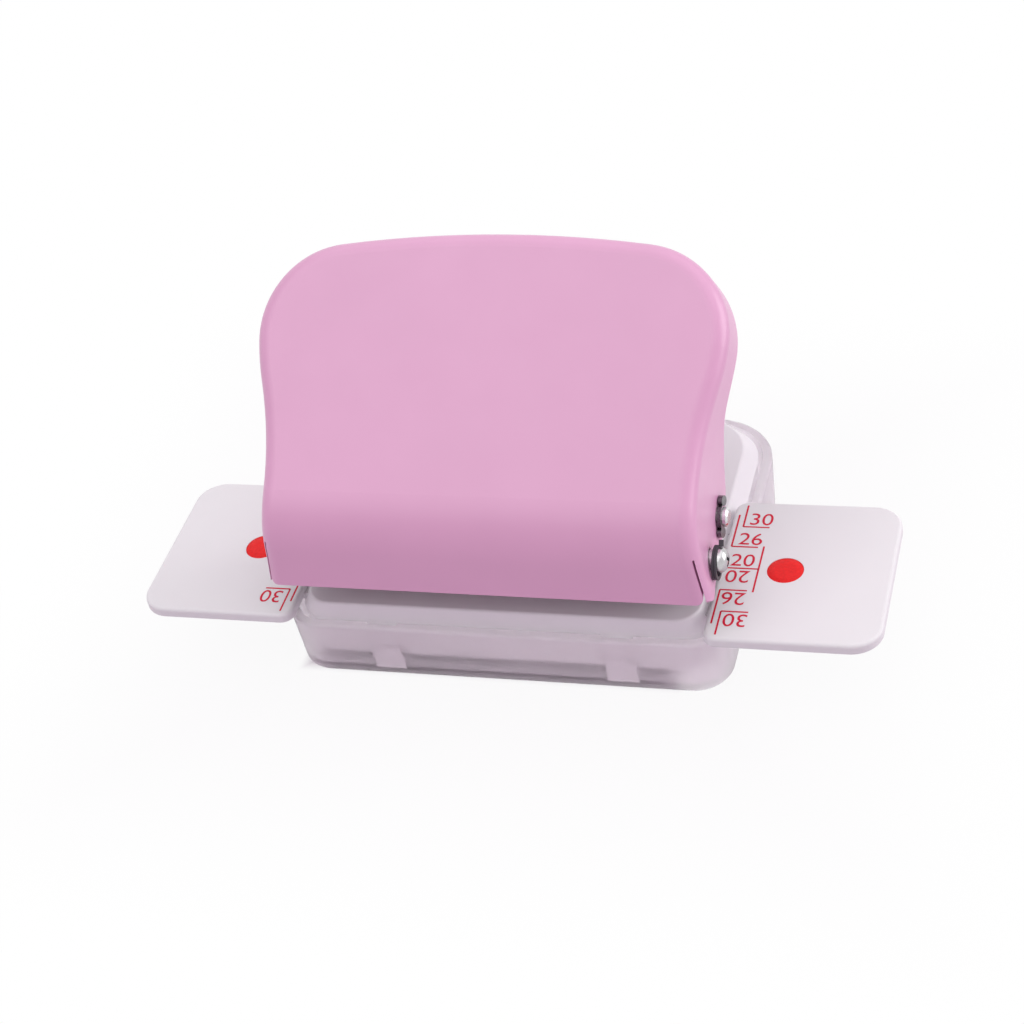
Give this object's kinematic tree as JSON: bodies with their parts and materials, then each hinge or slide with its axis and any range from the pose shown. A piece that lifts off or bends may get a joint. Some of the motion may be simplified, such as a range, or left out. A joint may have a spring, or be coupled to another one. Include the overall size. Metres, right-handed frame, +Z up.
{
  "type": "loose-leaf paper punch",
  "caption": "Small desk punch for loose-leaf sheets with a pressed-steel lever, sprung punches on one axle, pull-out paper guides and a frosted chip tray",
  "frame": {"origin": "On the desk plane, under the middle of the row of six holes", "axes": "X along the row of holes to the user's right, Y from the user towards the back, Z up"},
  "size_m": [0.1174, 0.0562, 0.061],
  "materials": {
    "frosted_plastic": null,
    "white_plastic": null,
    "guide_plastic": null,
    "plated_steel": null,
    "screw_steel": null,
    "black_steel": null,
    "pink_paint": null,
    "tool_steel": null,
    "spring_steel": null
  },
  "bodies": {
    "tray": {"chip_tray": "frosted_plastic"},
    "base": {"base_cover": "white_plastic", "die_plate": "plated_steel", "guide_plate": "plated_steel", "upper_guide": "plated_steel", "frame_screws": "screw_steel", "pivot_screws": "screw_steel", "pivot_washers": "black_steel", "thrust_washers": "white_plastic", "pivot_nuts": "screw_steel", "return_spring_1": "spring_steel", "return_spring_2": "spring_steel", "return_spring_3": "spring_steel", "return_spring_4": "spring_steel", "return_spring_5": "spring_steel", "return_spring_6": "spring_steel"},
    "lever": {"handle": "pink_paint"},
    "press_set": {"press_axle": "screw_steel", "axle_clips": "black_steel", "punch_1": "tool_steel", "punch_2": "tool_steel", "punch_3": "tool_steel", "punch_4": "tool_steel", "punch_5": "tool_steel", "punch_6": "tool_steel", "spring_cups": "plated_steel", "retaining_rings": "black_steel"},
    "left_paper_guide": {"left_guide": "guide_plastic"},
    "right_paper_guide": {"right_guide": "guide_plastic"}
  },
  "joints": [
    {"name": "base_lift", "type": "slide", "parent": "tray", "child": "base", "axis": [0, 0, 1], "range_m": [0, 0.02]},
    {"name": "handle_press", "type": "hinge", "parent": "base", "child": "lever", "pos_m": [0, -0.0088, 0.023], "axis": [-1, 0, 0], "range_deg": [0, 23], "stiffness_Nm_per_rad": 0.37, "springref_deg": -28.65},
    {"name": "punch_stroke", "type": "slide", "parent": "base", "child": "press_set", "axis": [0, 0, -1], "range_m": [0, 0.00364], "deforming": ["return_spring_1", "return_spring_2", "return_spring_3", "return_spring_4", "return_spring_5", "return_spring_6"]},
    {"name": "left_guide_pull", "type": "slide", "parent": "base", "child": "left_paper_guide", "axis": [-1, 0, 0], "range_m": [0, 0.008]},
    {"name": "right_guide_pull", "type": "slide", "parent": "base", "child": "right_paper_guide", "axis": [1, 0, 0], "range_m": [0, 0.008]}
  ],
  "couplings": [
    {"joint": "punch_stroke", "follows": "handle_press", "m_per_rad": 0.00906}
  ]
}
